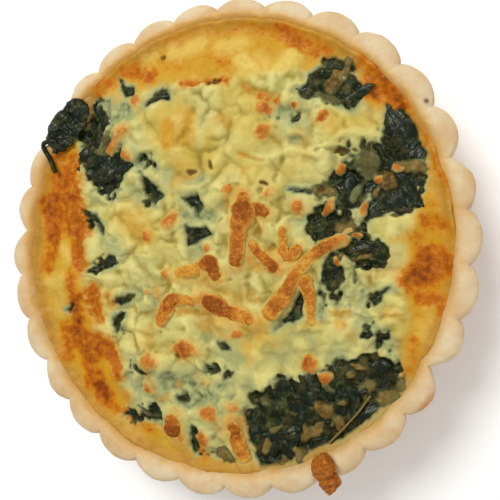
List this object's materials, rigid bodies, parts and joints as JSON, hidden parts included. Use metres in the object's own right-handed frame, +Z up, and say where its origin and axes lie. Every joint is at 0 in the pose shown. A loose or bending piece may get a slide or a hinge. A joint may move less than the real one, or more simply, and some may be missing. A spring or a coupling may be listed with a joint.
{
  "type": "vegetable quiche",
  "caption": "Small round quiche: fluted shortcrust case, egg custard with spinach leaves and browned melted cheese shreds on top.",
  "frame": {"origin": "middle of the flat base, on the surface that the quiche stands on", "axes": "+Z up; +X and +Y are to the right and to the top of the reference picture"},
  "size_m": [0.1235, 0.1235, 0.0299],
  "materials": {
    "pastry": "pale baked shortcrust, matt, with a toasted outer wall",
    "filling": "set custard and melted cheese, soft sheen, browned in patches",
    "spinach": "wilted dark green leaf, wrinkled and oily",
    "browned_cheese": "grated cheese baked orange brown, with a thin oily sheen"
  },
  "bodies": {
    "root": {"cheese_crumb": "browned_cheese", "cheese_shred_arm": "browned_cheese", "cheese_shred_bent": "browned_cheese", "cheese_shred_bottom": "browned_cheese", "cheese_shred_branch": "browned_cheese", "cheese_shred_cross": "browned_cheese", "cheese_shred_curl": "browned_cheese", "cheese_shred_left": "browned_cheese", "cheese_shred_long": "browned_cheese", "cheese_shred_low": "browned_cheese", "cheese_shred_upright": "browned_cheese", "cheese_shred_vee": "browned_cheese", "egg_filling": "filling", "pastry_case": "pastry", "spinach_bottom": "spinach", "spinach_by_shreds": "spinach", "spinach_centre_lower": "spinach", "spinach_centre_upper": "spinach", "spinach_hook": "spinach", "spinach_left": "spinach", "spinach_left_band": "spinach", "spinach_left_low": "spinach", "spinach_lower_left": "spinach", "spinach_lower_middle": "spinach", "spinach_lower_right": "spinach", "spinach_lower_tongue": "spinach", "spinach_right_inner": "spinach", "spinach_right_leaf": "spinach", "spinach_right_tail": "spinach", "spinach_rim_left": "spinach", "spinach_rim_upper": "spinach", "spinach_sliver_upper": "spinach", "spinach_stem": "spinach", "spinach_upper_left": "spinach", "spinach_upper_right": "spinach"}
  },
  "joints": []
}
